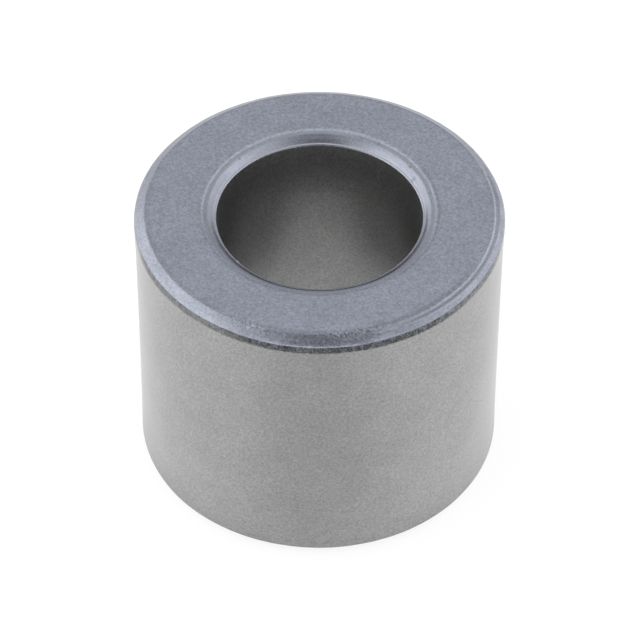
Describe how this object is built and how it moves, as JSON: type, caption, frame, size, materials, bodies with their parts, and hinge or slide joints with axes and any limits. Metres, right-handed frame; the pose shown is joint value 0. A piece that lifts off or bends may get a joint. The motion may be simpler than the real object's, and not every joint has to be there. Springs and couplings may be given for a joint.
{
  "type": "ferrite toroid core",
  "caption": "Tall sintered ferrite ring core with a straight through bore, bevelled rims and flat end faces, slipped over a cable to damp interference.",
  "frame": {"origin": "on the axis, at the bottom end face", "axes": "+Z along the bore, from the end it stands on to the end that shows in the picture; X and Y are any two directions across the ring"},
  "size_m": [0.018, 0.018, 0.015],
  "materials": {
    "ferrite": "as-pressed, satin grey with fine grain"
  },
  "bodies": {
    "root": {"core": "ferrite"}
  },
  "joints": []
}
